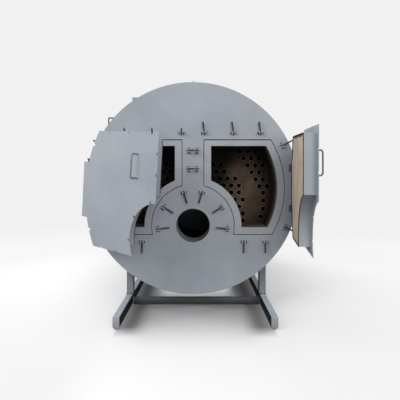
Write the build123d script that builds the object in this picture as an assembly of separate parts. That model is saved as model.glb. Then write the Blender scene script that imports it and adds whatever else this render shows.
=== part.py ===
"""Horizontal fire-tube boiler on a skid, with both smokebox doors standing open.

Frame: +X to the right of someone facing the burner, +Y from the front plate to the back, +Z up.
The origin is on the ground, on the front cross member's underside, below the drum's axis.
All lengths are in millimetres.
"""

from build123d import *
import math
import os

# Overall sizes
shell_radius = 990.0
shell_wall = 100.0
strake_length = 1050.0
plate_lip = 10.0
plate_thickness = 8.0
ground_clearance = 150.0
front_face_y = -180.0
smokebox_depth = 380.0
turning_chamber = 528.0
fit_gap = 0.3

plate_radius = shell_radius + plate_lip
axis_height = shell_radius + ground_clearance
shell_length = 3 * strake_length
shell_front_y = front_face_y + plate_thickness
shell_back_y = shell_front_y + shell_length
vessel_front_y = front_face_y + smokebox_depth
vessel_length = shell_back_y - turning_chamber - vessel_front_y

# Smokebox openings, measured from the boiler's axis
column_bolt_x = 38.0
door_flange_margin = 74.0
slot_inset = 12.0
bolt_inset = door_flange_margin - slot_inset
opening_inner_x = column_bolt_x + bolt_inset
opening_top = 0.458 * plate_radius
opening_bottom = 0.441 * plate_radius
opening_outer_radius = 0.868 * plate_radius
furnace_arc_radius = 0.387 * plate_radius
frame_gap = 6.0
frame_width = 65.0
frame_top_width = 53.0
frame_recess = 4.0

# Burner and furnace
burner_drop = 0.354 * plate_radius
burner_radius = 0.159 * plate_radius
throat_wall = 14.0
furnace_radius = 0.340 * plate_radius

# Fire tubes on a staggered pitch: each row starts at a distance from the centre line and has a count
tube_bore = 46.0
tube_pitch = 0.078 * plate_radius
tube_row_spacing = 0.0714 * plate_radius
outer_top_row = 0.367 * plate_radius
outer_row_starts = [share * plate_radius for share in (0.473, 0.513, 0.553, 0.593, 0.633, 0.673)]
outer_row_counts = [3, 3, 3, 2, 2, 2]
outer_column_x = [share * plate_radius for share in (0.712, 0.712, 0.712, 0.688)]
outer_column_z = [share * plate_radius for share in (-0.056, -0.137, -0.219, -0.300)]
inner_top_row = 0.232 * plate_radius
inner_row_shares = (0.202, 0.236, 0.270, 0.308, 0.386, 0.426, 0.466, 0.504, 0.504)
inner_row_starts = [share * plate_radius for share in inner_row_shares]
inner_row_counts = [2, 2, 3, 3, 2, 2, 1, 1, 1]

# Doors, drawn shut: the flange plate stands off the front plate by the depth of its insulated box
door_bottom_lift = 7.0
door_plate_thickness = 6.0
door_standoff = 107.0
door_face_gap = 5.0
box_margin = 16.0
box_bottom_lift = 19.0
box_wall = 4.0
lining_gap = 1.0
lining_recess = 2.0
tab_top = 0.245 * plate_radius
tab_bottom = 0.260 * plate_radius
tab_reach = 25.0
left_open_angle = 40.1
right_open_angle = 85.3

# Hinges: each pin line leans forward and a little outward, so an open door droops
hinge_inset = 45.0
hinge_x = plate_radius - hinge_inset
hinge_standoff = 48.0
left_lean_angle = 5.7
left_tilt_angle = 2.0
right_lean_angle = 1.5
right_tilt_angle = 1.1
pin_radius = 9.0
pin_clearance = 0.3
knuckle_radius = 19.0
knuckle_length = 40.0
knuckle_gap = 0.5
hinge_spacing = 0.380 * plate_radius
hinge_arm_width = 24.0

# Door handle, a bent round bar
handle_x = 0.262 * plate_radius
handle_height = 0.245 * plate_radius
handle_length = 200.0
handle_standoff = 68.0
handle_radius = 7.5
handle_bend = 22.0

# Swing bolts round each door
slot_width = 22.0
bolt_radius = 8.0
bolt_length = 106.0
bolt_eye_radius = 16.0
bolt_eye_width = 18.0
lug_gap = 19.0
ear_thickness = 8.0
ear_width = 32.0
bolt_pin_radius = 6.0
bolt_pin_height = 24.0
pin_head_radius = 11.0
pin_head_thickness = 11.0
top_bolt_x = [share * plate_radius for share in (0.108, 0.381, 0.636)]
column_bolt_z = [share * plate_radius for share in (0.353, 0.181)]
arc_bolt_angles = [75.0, 33.0, -4.7]
bottom_bolt_x = [share * plate_radius for share in (0.477, 0.680)]
outer_bolt_angles = [25.6, -23.1]
top_bolt_angle = 8.0
flat_fold_angle = 4.0
left_top_fold_angle = 72.0
right_top_fold_angle = 4.0
left_column_fold_angle = 62.0
right_column_fold_angle = 88.0

# Skid, whose middle is a little to the right of the drum's axis
skid_offset = 30.0
runner_outer_x = 0.675 * plate_radius
runner_width = 60.0
runner_height = 107.0
runner_edge_cut = 22.0
runner_front = -796.0
runner_overhang = 142.0
runner_back = shell_back_y + runner_overhang
post_depth = 120.0
post_wall = 8.0
front_post_y = -45.0
rear_post_inset = 623.0
rear_post_y = shell_back_y - rear_post_inset
cross_height = 68.0
cross_depth = 60.0
cross_wall = 6.0
cross_corner = 10.0
rear_cross_y = rear_post_y + post_depth / 2
middle_cross_y = rear_cross_y / 2

# Fittings on top of the jacket, placed along its length
steam_nozzle_y = shell_front_y + 0.315 * shell_length
nozzle_pipe_radius = 66.5
nozzle_bore_radius = 60.0
nozzle_rise = 175.0
nozzle_flange_radius = 125.0
nozzle_flange_thickness = 22.0
nozzle_hole_ring_radius = 105.0
nozzle_hole_radius = 9.0
nozzle_hole_count = 8
safety_nozzle_y = shell_front_y + 0.467 * shell_length
safety_nozzle_x = 0.170 * plate_radius
safety_pipe_radius = 38.0
safety_bore_radius = 32.5
safety_flange_radius = 92.5
safety_flange_thickness = 18.0
safety_rise = 170.0
manhole_y = shell_front_y + 0.626 * shell_length
manhole_neck_radius = 215.0
manhole_neck_wall = 10.0
manhole_rise = 110.0
manhole_cover_radius = 255.0
manhole_cover_thickness = 24.0
lifting_lug_places = [shell_front_y + share * shell_length for share in (0.137, 0.8165)]
lifting_lug_length = 150.0
lifting_lug_thickness = 18.0
lifting_lug_rise = 105.0
lifting_eye_radius = 22.0

# Fittings on the jacket's left shoulder
junction_box_y = shell_front_y + 0.153 * shell_length
junction_box_length = 300.0
junction_box_left = -0.642 * plate_radius
junction_box_width = 0.190 * plate_radius
junction_box_top = 0.938 * plate_radius
grab_bar_y = shell_front_y + 0.0705 * shell_length
grab_bar_radius = 8.0
grab_bar_x = -0.840 * plate_radius
grab_bar_top = 0.690 * plate_radius
grab_bar_bend = 28.0

# Rear end
flue_rise = 0.420 * plate_radius
flue_radius = 0.175 * plate_radius
flue_wall = 6.0
flue_length = 160.0
flue_flange_width = 50.0
flue_flange_thickness = 10.0
rear_cover_radius = 0.300 * plate_radius
rear_cover_thickness = 14.0

front = Plane(origin=(0, front_face_y, axis_height), x_dir=(1, 0, 0), z_dir=(0, -1, 0))
from_base = (Align.CENTER, Align.CENTER, Align.MIN)


def outward(sketch, start, amount):
    """Extrudes a sketch drawn on the front face, from start to start + amount towards the viewer."""
    return extrude(front.offset(start) * sketch, amount)


def opening_outline(margin, lift=0, rise=0):
    """The right-hand smokebox opening grown by margin, its bottom raised by lift and its top by rise."""
    low, high = lift - opening_bottom - margin, opening_top + margin + rise
    inner, outer = opening_inner_x - margin, opening_outer_radius + margin
    band = Pos((inner + outer) / 2, (low + high) / 2) * Rectangle(outer - inner, high - low)
    furnace = Pos(0, -burner_drop) * Circle(furnace_arc_radius - margin)
    return (band & Circle(outer)) - furnace


def shell_space():
    """The whole round of the jacket, used to fit feet and nozzles to its surface."""
    middle = (shell_front_y + shell_back_y) / 2
    return Pos(0, middle, axis_height) * Rot(90, 0, 0) * Cylinder(shell_radius, shell_length)


def mirrored(shape):
    """The left-hand twin of a right-hand piece."""
    return mirror(shape, about=Plane.YZ)


# The front: plate, smokebox walls, burner throat


def front_plate():
    opening = opening_outline(0)
    face = Circle(plate_radius) - opening - mirror(opening, about=Plane.YZ)
    face -= Pos(0, -burner_drop) * Circle(burner_radius + throat_wall + fit_gap)
    return outward(face, -plate_thickness, plate_thickness)


def smokebox_wall():
    """The insulated wall round the right-hand smokebox, whose front edge is the door's seat."""
    inside = opening_outline(-frame_gap - frame_width, rise=frame_width - frame_top_width)
    ring = opening_outline(-frame_gap) - inside
    return outward(ring, -smokebox_depth, smokebox_depth - frame_recess)


def burner_throat():
    ring = Circle(burner_radius + throat_wall) - Circle(burner_radius)
    return outward(Pos(0, -burner_drop) * ring, -smokebox_depth, smokebox_depth)


# The pressure vessel and its jacket


def tube_places():
    """Fire tubes of the right-hand side, as distances from the boiler's axis."""
    outer_field = (outer_row_starts, outer_row_counts, outer_top_row)
    inner_field = (inner_row_starts, inner_row_counts, inner_top_row)
    for starts, counts, top in (outer_field, inner_field):
        for number, first in enumerate(starts):
            for column in range(counts[number]):
                yield first + column * tube_pitch, top - number * tube_row_spacing
    for x, z in zip(outer_column_x, outer_column_z):
        yield x, z


def pressure_vessel():
    """The tube plate and the water space behind it as one mass, bored for the furnace and the fire tubes."""
    face = Circle(shell_radius - shell_wall - fit_gap)
    face -= Pos(0, -burner_drop) * Circle(furnace_radius)
    for side in (1, -1):
        face -= [Pos(side * x, z) * Circle(tube_bore / 2) for x, z in tube_places()]
    return outward(face, -smokebox_depth - vessel_length, vessel_length)


def strake(number):
    """One of the three insulated rings of the jacket."""
    ring = Circle(shell_radius) - Circle(shell_radius - shell_wall)
    return outward(ring, -plate_thickness - (number + 1) * strake_length, strake_length)


def rear_plate():
    face = Circle(plate_radius) - Pos(0, flue_rise) * Circle(flue_radius)
    return outward(face, -2 * plate_thickness - shell_length, plate_thickness)


def flue_outlet():
    ring = Circle(flue_radius + flue_wall) - Circle(flue_radius)
    rim = Circle(flue_radius + flue_flange_width) - Circle(flue_radius)
    back = 2 * plate_thickness + shell_length
    stub = outward(Pos(0, flue_rise) * ring, -back - flue_length, flue_length)
    return stub + outward(Pos(0, flue_rise) * rim, -back - flue_length, flue_flange_thickness)


def rear_cover():
    """The round cover over the back of the furnace."""
    start = -2 * plate_thickness - shell_length - rear_cover_thickness
    return outward(Pos(0, -burner_drop) * Circle(rear_cover_radius), start, rear_cover_thickness)


# Swing bolts and their lugs


def bolt_places(top_fold, column_fold):
    """Each swing bolt of the right-hand door: place, way out of its slot, skew and how far it stands up."""
    for x in top_bolt_x:
        yield x, opening_top + bolt_inset, 90.0, top_bolt_angle, top_fold
    for z in column_bolt_z:
        yield column_bolt_x, z, 180.0, 0.0, column_fold
    arc = furnace_arc_radius - bolt_inset
    for angle in arc_bolt_angles:
        turn = math.radians(angle)
        yield arc * math.cos(turn), arc * math.sin(turn) - burner_drop, angle + 180.0, 0.0, flat_fold_angle
    for x in bottom_bolt_x:
        yield x, -opening_bottom - bolt_inset, 270.0, 0.0, flat_fold_angle
    rim = opening_outer_radius + bolt_inset
    for angle in outer_bolt_angles:
        turn = math.radians(angle)
        yield rim * math.cos(turn), rim * math.sin(turn), angle, 0.0, flat_fold_angle


def bolt_frame(x, z, direction):
    """Local frame on the front face: +X the way the bolt folds, +Z towards the viewer, pin along Y."""
    turn = math.radians(direction)
    along = (math.cos(turn), 0, math.sin(turn))
    return Plane(origin=(x, front_face_y, axis_height + z), x_dir=along, z_dir=(0, -1, 0))


def bolt_lug():
    """Two ears and the headed pin that joins them."""
    across = Rot(90, 0, 0)
    middle = (lug_gap + ear_thickness) / 2
    outside = lug_gap / 2 + ear_thickness
    lug = Pos(0, 0, bolt_pin_height) * across * Cylinder(bolt_pin_radius, 2 * outside)
    for side in (1, -1):
        foot = Pos(0, side * middle, bolt_pin_height / 2) * Box(ear_width, ear_thickness, bolt_pin_height)
        crown = Pos(0, side * middle, bolt_pin_height) * across * Cylinder(ear_width / 2, ear_thickness)
        head = across * Cylinder(pin_head_radius, pin_head_thickness)
        lug += foot + crown + Pos(0, side * (outside + pin_head_thickness / 2), bolt_pin_height) * head
    return lug


def swing_bolt(fold):
    across = Rot(90, 0, 0)
    eye = across * Cylinder(bolt_eye_radius, bolt_eye_width)
    shank = Rot(0, 90, 0) * Cylinder(bolt_radius, bolt_length, align=from_base)
    bolt = eye + shank - across * Cylinder(bolt_pin_radius + pin_clearance, bolt_eye_width)
    return Pos(0, 0, bolt_pin_height) * Rot(0, -fold, 0) * bolt


def bolt_lugs():
    lugs = [bolt_frame(x, z, way + skew) * bolt_lug() for x, z, way, skew, _ in bolt_places(0, 0)]
    return Compound(children=lugs)


def swing_bolts(top_fold, column_fold):
    places = bolt_places(top_fold, column_fold)
    bolts = [bolt_frame(x, z, way + skew) * swing_bolt(fold) for x, z, way, skew, fold in places]
    return Compound(children=bolts)


# Doors and hinges


def door_plate():
    face = opening_outline(door_flange_margin, door_bottom_lift)
    tab_start = opening_outer_radius
    tab_end = hinge_x + tab_reach
    tab = Rectangle(tab_end - tab_start, tab_top + tab_bottom)
    face += Pos((tab_end + tab_start) / 2, (tab_top - tab_bottom) / 2) * tab
    reach = slot_inset + 2 * slot_width
    for x, z, direction, _, _ in bolt_places(0, 0):
        slot = Circle(slot_width / 2) + Pos(reach / 2, 0) * Rectangle(reach, slot_width)
        face -= Pos(x, z) * Rot(0, 0, direction) * slot
    return outward(face, door_standoff, door_plate_thickness)


def door_box():
    """The steel wall round the door's insulation."""
    ring = opening_outline(box_margin, box_bottom_lift)
    ring -= opening_outline(box_margin - box_wall, box_bottom_lift)
    return outward(ring, door_face_gap, door_standoff - door_face_gap)


def door_lining():
    face = opening_outline(box_margin - box_wall - lining_gap, box_bottom_lift)
    start = door_face_gap + lining_recess
    return outward(face, start, door_standoff - start)


def bent_bar(points, radius, bend):
    path = FilletPolyline(*points, radius=bend)
    start = Plane(origin=path @ 0, z_dir=path % 0)
    return sweep(start * Circle(radius), path=path)


def door_handle():
    foot = front_face_y - door_standoff - door_plate_thickness
    grip = foot - handle_standoff
    low = axis_height + handle_height - handle_length / 2
    high = low + handle_length
    points = [(handle_x, foot, low), (handle_x, grip, low), (handle_x, grip, high), (handle_x, foot, high)]
    return bent_bar(points, handle_radius, handle_bend)


def hinge_frame(lean, tilt):
    """Frame on the right-hand hinge line: +Z along the leaning pin, +X away from the boiler's axis."""
    forward, outward_turn = math.radians(lean), math.radians(tilt)
    middle = (hinge_x, front_face_y - hinge_standoff, axis_height)
    side, up = math.sin(outward_turn), math.cos(outward_turn)
    along_x = (up, math.sin(forward) * side, -math.cos(forward) * side)
    along_z = (side, -math.sin(forward) * up, math.cos(forward) * up)
    return Plane(origin=middle, x_dir=along_x, z_dir=along_z)


def knuckle(bottom, reach):
    """A barrel on the pin line with an arm that goes a distance reach along Y."""
    barrel = Pos(0, 0, bottom) * Cylinder(knuckle_radius, knuckle_length, align=from_base)
    arm = Box(hinge_arm_width, abs(reach), knuckle_length)
    arm = Pos(0, reach / 2, bottom + knuckle_length / 2) * arm
    hole = Pos(0, 0, bottom) * Cylinder(pin_radius + pin_clearance, knuckle_length, align=from_base)
    return barrel + arm - hole


def fixed_hinge(lean, tilt):
    """The two knuckles welded to the front plate."""
    depth = 4 * door_standoff
    behind = Pos(hinge_x, front_face_y + depth / 2, axis_height) * Box(depth, depth, 2 * plate_radius)
    knuckles = []
    for middle in (hinge_spacing / 2, -hinge_spacing / 2):
        piece = hinge_frame(lean, tilt) * knuckle(middle - knuckle_length / 2, 2 * door_standoff)
        knuckles.append(piece - behind)
    return Compound(children=knuckles)


def hinge_pin(lean, tilt):
    """The long pin that stands in the fixed knuckles, pressed into them."""
    low = -hinge_spacing / 2 - knuckle_length
    high = hinge_spacing / 2 + 2 * knuckle_length
    return hinge_frame(lean, tilt) * Pos(0, 0, low) * Cylinder(pin_radius, high - low, align=from_base)


def door_hinge(lean, tilt):
    """The door's own two knuckles, each resting on a fixed one, with arms out to the flange plate."""
    depth = 4 * door_standoff
    past_y = front_face_y - door_standoff - depth / 2
    past = Pos(hinge_x, past_y, axis_height) * Box(depth, depth, 2 * plate_radius)
    knuckles = []
    for middle in (hinge_spacing / 2, -hinge_spacing / 2):
        bottom = middle + knuckle_length / 2 + knuckle_gap
        piece = hinge_frame(lean, tilt) * knuckle(bottom, -2 * door_standoff)
        knuckles.append(piece - past)
    return Compound(children=knuckles)


def door_pieces(lean, tilt, angle):
    """All of a right-hand door, turned open about its leaning pin line."""
    pieces = {
        "door_plate": door_plate(),
        "door_box": door_box(),
        "door_lining": door_lining(),
        "door_handle": door_handle(),
        "door_hinge": door_hinge(lean, tilt),
    }
    pin_frame = hinge_frame(lean, tilt)
    pin_line = Axis(pin_frame.origin, pin_frame.z_dir)
    return {name: shape.rotate(pin_line, angle) for name, shape in pieces.items()}


# Skid


def runner_middle(hand):
    """Middle of a runner, for hand 1 on the right or -1 on the left."""
    return skid_offset + hand * (runner_outer_x - runner_width / 2)


def runner(hand):
    length = runner_back - runner_front
    section = Rectangle(runner_width, runner_height)
    section = chamfer(section.vertices().group_by(Axis.Y)[0], runner_edge_cut)
    back = (runner_middle(hand), runner_back, runner_height / 2)
    start = Plane(origin=back, x_dir=(1, 0, 0), z_dir=(0, -1, 0))
    return extrude(start * section, length)


def post(hand, y):
    """An I-section post from the runner up to the jacket."""
    section = Rectangle(runner_width, post_depth) - Rectangle(runner_width, post_depth - 2 * post_wall)
    section += Rectangle(post_wall, post_depth)
    height = axis_height - runner_height
    place = Pos(runner_middle(hand), y + post_depth / 2, runner_height)
    return extrude(place * section, height) - shell_space()


def cross_member(y):
    half = runner_outer_x - runner_width
    section = RectangleRounded(cross_depth, cross_height, cross_corner)
    section -= Rectangle(cross_depth - 2 * cross_wall, cross_height - 2 * cross_wall)
    start = Plane(origin=(skid_offset - half, y, cross_height / 2), x_dir=(0, 1, 0), z_dir=(1, 0, 0))
    return extrude(start * section, 2 * half)


# Fittings


def upright(radius, x, y, low, height):
    return Pos(x, y, low) * Cylinder(radius, height, align=from_base)


def flanged_nozzle(x, y, rise, pipe, bore, flange, thickness):
    """A flanged pipe that stands on the jacket and rises above its crown."""
    top = axis_height + shell_radius + rise
    body = upright(pipe, x, y, axis_height, top - axis_height)
    body += upright(flange, x, y, top - thickness, thickness)
    body -= upright(bore, x, y, axis_height, top - axis_height)
    return body - shell_space()


def steam_nozzle():
    body = flanged_nozzle(0, steam_nozzle_y, nozzle_rise, nozzle_pipe_radius, nozzle_bore_radius,
                          nozzle_flange_radius, nozzle_flange_thickness)
    top = axis_height + shell_radius + nozzle_rise
    hole = Cylinder(nozzle_hole_radius, 3 * nozzle_flange_thickness)
    for place in PolarLocations(nozzle_hole_ring_radius, nozzle_hole_count):
        body -= Pos(0, steam_nozzle_y, top) * place * hole
    return body


def safety_nozzles():
    pair = [flanged_nozzle(x, safety_nozzle_y, safety_rise, safety_pipe_radius, safety_bore_radius,
                           safety_flange_radius, safety_flange_thickness)
            for x in (safety_nozzle_x, -safety_nozzle_x)]
    return Compound(children=pair)


def manhole_neck():
    rise = shell_radius + manhole_rise
    neck = upright(manhole_neck_radius, 0, manhole_y, axis_height, rise)
    neck -= upright(manhole_neck_radius - manhole_neck_wall, 0, manhole_y, axis_height, rise)
    return neck - shell_space()


def manhole_cover():
    top = axis_height + shell_radius + manhole_rise
    return upright(manhole_cover_radius, 0, manhole_y, top, manhole_cover_thickness)


def lifting_lugs():
    """Two plates on the crown of the jacket, each with an eye for a shackle."""
    lugs = []
    for y in lifting_lug_places:
        high = axis_height + shell_radius + lifting_lug_rise
        low = high - 2 * lifting_lug_rise
        plate = Rectangle(lifting_lug_length, high - low)
        plate = chamfer(plate.vertices().group_by(Axis.Y)[-1], lifting_lug_rise / 3)
        plate -= Pos(0, lifting_lug_rise / 2) * Circle(lifting_eye_radius)
        corner = (-lifting_lug_thickness / 2, y, (low + high) / 2)
        start = Plane(origin=corner, x_dir=(0, 1, 0), z_dir=(1, 0, 0))
        lugs.append(extrude(start * plate, lifting_lug_thickness) - shell_space())
    return Compound(children=lugs)


def junction_box():
    high = axis_height + junction_box_top
    height = junction_box_top / 2
    middle_x = junction_box_left + junction_box_width / 2
    box = Box(junction_box_width, junction_box_length, height)
    box = Pos(middle_x, junction_box_y + junction_box_length / 2, high - height / 2) * box
    return box - shell_space()


def grab_bar():
    """A bent bar on the jacket's shoulder, both ends welded on."""
    top = axis_height + grab_bar_top
    points = [(0.6 * grab_bar_x, grab_bar_y, top), (grab_bar_x, grab_bar_y, top),
              (grab_bar_x, grab_bar_y, axis_height + 0.5 * grab_bar_top)]
    return bent_bar(points, grab_bar_radius, grab_bar_bend) - shell_space()


def build():
    nodes = {
        "front_plate": front_plate(),
        "burner_throat": burner_throat(),
        "pressure_vessel": pressure_vessel(),
        "front_strake": strake(0),
        "middle_strake": strake(1),
        "rear_strake": strake(2),
        "rear_plate": rear_plate(),
        "flue_outlet": flue_outlet(),
        "rear_cover": rear_cover(),
        "steam_nozzle": steam_nozzle(),
        "safety_nozzles": safety_nozzles(),
        "manhole_neck": manhole_neck(),
        "manhole_cover": manhole_cover(),
        "lifting_lugs": lifting_lugs(),
        "junction_box": junction_box(),
        "grab_bar": grab_bar(),
        "front_cross_member": cross_member(0),
        "middle_cross_member": cross_member(middle_cross_y),
        "rear_cross_member": cross_member(rear_cross_y),
    }
    poses = {
        "right": (right_lean_angle, right_tilt_angle, right_open_angle),
        "left": (left_lean_angle, left_tilt_angle, left_open_angle),
    }
    folds = {
        "right": (right_top_fold_angle, right_column_fold_angle),
        "left": (left_top_fold_angle, left_column_fold_angle),
    }
    for side, (lean, tilt, angle) in poses.items():
        pieces = {
            "smokebox_wall": smokebox_wall(),
            "bolt_lugs": bolt_lugs(),
            "swing_bolts": swing_bolts(*folds[side]),
            "fixed_hinge": fixed_hinge(lean, tilt),
            "hinge_pin": hinge_pin(lean, tilt),
        }
        pieces.update(door_pieces(lean, tilt, angle))
        for name, shape in pieces.items():
            nodes[f"{side}_{name}"] = mirrored(shape) if side == "left" else shape
    for side, hand in (("right", 1), ("left", -1)):
        nodes[f"{side}_runner"] = runner(hand)
        nodes[f"{side}_front_post"] = post(hand, front_post_y)
        nodes[f"{side}_rear_post"] = post(hand, rear_post_y)
    return nodes


def main():
    os.makedirs("parts", exist_ok=True)
    for name, shape in build().items():
        export_step(shape, f"parts/{name}.step")


main()
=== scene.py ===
# %% [markdown]
# # A fire-tube boiler with its smokebox doors open
# This lesson dresses a boiler whose shapes were drawn in CAD. The imported model is the frame: its
# pieces are already in place, in metres, with +Y running from the front plate to the back and +Z up.
# We load it first.

import random
from math import acos, asin, atan2, cos, hypot, pi, radians, sin, sqrt

import bmesh
import bpy
import numpy as np
from mathutils import Matrix, Vector, geometry, noise


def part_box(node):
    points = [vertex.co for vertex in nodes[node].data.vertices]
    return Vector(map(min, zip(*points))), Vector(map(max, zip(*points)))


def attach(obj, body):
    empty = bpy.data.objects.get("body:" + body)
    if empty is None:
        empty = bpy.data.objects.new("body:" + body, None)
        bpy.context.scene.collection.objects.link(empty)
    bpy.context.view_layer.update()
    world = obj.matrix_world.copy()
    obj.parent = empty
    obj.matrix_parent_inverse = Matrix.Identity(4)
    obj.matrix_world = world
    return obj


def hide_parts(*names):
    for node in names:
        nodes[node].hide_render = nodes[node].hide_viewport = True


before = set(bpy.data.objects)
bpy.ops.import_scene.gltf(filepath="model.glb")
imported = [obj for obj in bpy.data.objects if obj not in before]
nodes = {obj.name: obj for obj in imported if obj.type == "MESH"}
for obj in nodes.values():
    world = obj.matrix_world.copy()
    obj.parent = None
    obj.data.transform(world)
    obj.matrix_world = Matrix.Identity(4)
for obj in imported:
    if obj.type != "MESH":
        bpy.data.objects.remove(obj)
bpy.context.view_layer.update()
scene = bpy.context.scene

# %% [markdown]
# ## The camera
# The photograph was taken from straight in front, about 4.4 m from the front plate, a little right of
# the boiler's middle and a little above its axis. A level camera keeps upright edges upright, so the
# picture's height is set with a small lens shift instead of a tilt.

# %% Camera
AXIS_Z = 1.140
FRONT_Y = -0.180
camera = bpy.data.cameras.new("front_camera")
camera.lens = 42.3
camera.sensor_width = 36.0
camera.shift_x = -0.002
camera.shift_y = -0.056
camera_object = bpy.data.objects.new("front_camera", camera)
camera_object.location = (0.074, FRONT_Y - 4.434, AXIS_Z + 0.099)
camera_object.rotation_euler = (pi / 2, 0, 0)
scene.collection.objects.link(camera_object)
scene.camera = camera_object
scene.view_settings.view_transform = "Standard"
print("camera at", tuple(round(c, 3) for c in camera_object.location))

# %% [markdown]
# ## Small helpers for materials
# Colours are written the way a paint chart or an image editor gives them, as sRGB hex values, and one
# function turns them to the linear values that Blender mixes. Another adds a node, sets it and links
# it, so that each material below reads as a list of what it is made of.

# %% Material helpers


def linear(colour):
    """An sRGB hex colour as linear RGBA."""
    channels = [int(colour[i:i + 2], 16) / 255 for i in (1, 3, 5)]
    return [c / 12.92 if c <= 0.04045 else ((c + 0.055) / 1.055) ** 2.4 for c in channels] + [1.0]


def wire(tree, node, inputs):
    """Sets or links a node's inputs: numbers, hex colours, sockets, or nodes (first output in use)."""
    for name, value in inputs.items():
        if isinstance(value, bpy.types.Node):
            value = next(out for out in value.outputs if out.enabled)
        if isinstance(value, bpy.types.NodeSocket):
            tree.links.new(value, node.inputs[name])
        else:
            node.inputs[name].default_value = linear(value) if isinstance(value, str) else value
    return node


def add(tree, kind, inputs=None, **settings):
    """Adds a shader node, sets its settings, and sets or links its inputs. Mix nodes mix colours."""
    made = tree.nodes.new("ShaderNode" + kind)
    if kind == "Mix":
        made.data_type = "RGBA"
    for name, value in settings.items():
        setattr(made, name, value)
    return wire(tree, made, inputs or {})


def start(name, **sockets):
    """A new material with its shader's plain values set; returns material, tree, shader, place."""
    material = bpy.data.materials.new(name)
    material.use_nodes = True
    tree = material.node_tree
    plain = {key.replace("_", " "): value for key, value in sockets.items()}
    shader = wire(tree, tree.nodes["Principled BSDF"], plain)
    return material, tree, shader, add(tree, "TexCoord").outputs["Object"]


print("white is", linear("#FFFFFF"))

# %% [markdown]
# ## The floor
# The floor is a wide disc that fades out before its rim, so there is no hard horizon from any side. It
# shows the camera and mirror-like metal pale paper, but sends little light back up, as a workshop floor
# would. Between the runners its colour is darker: painted shade before the drum, and darker painted
# shade in bands along the runners' inner sides. Outside the skid a share of plain white, growing away
# from the boiler, keeps it as pale as studio paper, with the boiler's shadow still on it. Under the
# middle of the drum a share of that white is a painted pool of light. Each of these is a share that
# grows along a line on the floor, so one table lists them all.

# %% Floor
FLOOR_R, MIDDLE_Y, SKID_X = 9, 1.2, 0.03


def turns_of(count):
    """Even angles once round a circle."""
    return np.linspace(0, 2 * pi, count, endpoint=False)


def seen_directly(tree):
    """1 for rays that end in the eye, straight, mirrored or through glass, and 0 for light that bounces."""
    ray = add(tree, "LightPath").outputs
    seen = add(tree, "Math", {0: ray["Is Camera Ray"], 1: ray["Is Glossy Ray"]}, operation="MAXIMUM")
    return add(tree, "Math", {0: seen, 1: ray["Is Transmission Ray"]}, operation="MAXIMUM")


floor_mesh = bpy.data.meshes.new("paper_floor")
ring = [(FLOOR_R * cos(a), MIDDLE_Y + FLOOR_R * sin(a), 0.0) for a in turns_of(96)]
floor_mesh.from_pydata(ring, [], [list(range(len(ring)))])
floor = bpy.data.objects.new("paper_floor", floor_mesh)
scene.collection.objects.link(floor)
paper, tree, shader, place = start("matte_white_paper", Roughness=0.9, Specular_IOR_Level=0.1)
seen = seen_directly(tree)
spot = add(tree, "SeparateXYZ", {"Vector": place}).outputs
aside = add(tree, "Math", {0: spot["X"], 1: SKID_X}, operation="SUBTRACT")
aside = add(tree, "Math", {0: aside}, operation="ABSOLUTE")
away = add(tree, "VectorMath", {0: place, 1: (0, MIDDLE_Y, 0)}, operation="DISTANCE")
SHARES = {  # measured along, nothing at, all at (m), how much that is, how it grows
    "between": (aside, 0.66, 0.36, 1.0, "SMOOTHSTEP"),
    "ahead": (spot["Y"], -1.35, -0.15, 1.0, "SMOOTHSTEP"),
    "before": (spot["Y"], 0.25, -0.05, 1.0, "LINEAR"),
    "beside": (aside, 0.37, 0.57, 1.0, "SMOOTHSTEP"),
    "within": (aside, 0.66, 0.63, 1.0, "LINEAR"),
    "from_tips": (spot["Y"], -0.98, -0.72, 1.0, "LINEAR"),
    "to_rear": (spot["Y"], 2.90, 2.30, 1.0, "LINEAR"),
    "outside": (aside, 0.50, 0.80, 0.3, "LINEAR"),
    "mid_drum": (aside, 0.40, 0.30, 0.5, "LINEAR"),
    "under_drum": (spot["Y"], 0.20, 0.60, 1.0, "LINEAR"),
    "far": (away, 1.3, 3.0, 2.0, "LINEAR"),
    "fade": (away, 3.4, 7.5, 1.0, "SMOOTHSTEP"),
}
share = {name: add(tree, "MapRange", {"Value": along, "From Min": first, "From Max": last, "To Max": most},
                   interpolation_type=growth) for name, (along, first, last, most, growth) in SHARES.items()}
for made, *others in (("between", "ahead", "before"), ("beside", "within", "from_tips", "to_rear"),
                      ("mid_drum", "under_drum", "to_rear")):
    for name in others:
        share[made] = add(tree, "Math", {0: share[made], 1: share[name]}, operation="MULTIPLY")
# Painted shade on the floor: a darker patch before the drum and dark bands inside the runners.
painted_shade_ahead, painted_shade_beside = share["between"], share["beside"]
# Plain pale white outside the skid, and a painted pool of light under the middle of the drum.
pale_and_painted_light = add(tree, "Math", {0: share["mid_drum"], 1: share["outside"]}, operation="ADD")
pale_and_painted_light = add(tree, "Math", {0: share["far"], 1: share["outside"], 2: pale_and_painted_light}, operation="MULTIPLY_ADD")
pale_and_painted_light = add(tree, "Math", {0: pale_and_painted_light, 1: seen}, operation="MULTIPLY")
dust_and_painted_shade = add(tree, "Mix", {0: painted_shade_ahead, 6: "#F2F2F2", 7: "#A8A8AA"})
painted_shade_floor = add(tree, "Mix", {0: painted_shade_beside, 6: dust_and_painted_shade, 7: "#5C5C5E"})
shown = add(tree, "Mix", {0: seen, 6: "#6E6E6E", 7: painted_shade_floor})
wire(tree, shader, {"Base Color": shown})
glow = add(tree, "Emission", {"Color": "#F4F4F4", "Strength": 1.0})
pale = add(tree, "MixShader", {0: pale_and_painted_light, 1: shader, 2: glow})
blend = add(tree, "MixShader", {0: share["fade"], 1: pale, 2: add(tree, "BsdfTransparent")})
wire(tree, tree.nodes["Material Output"], {"Surface": blend})
floor_mesh.materials.append(paper)
print("floor:", len(ring), "sides,", len(SHARES), "shares")

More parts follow.
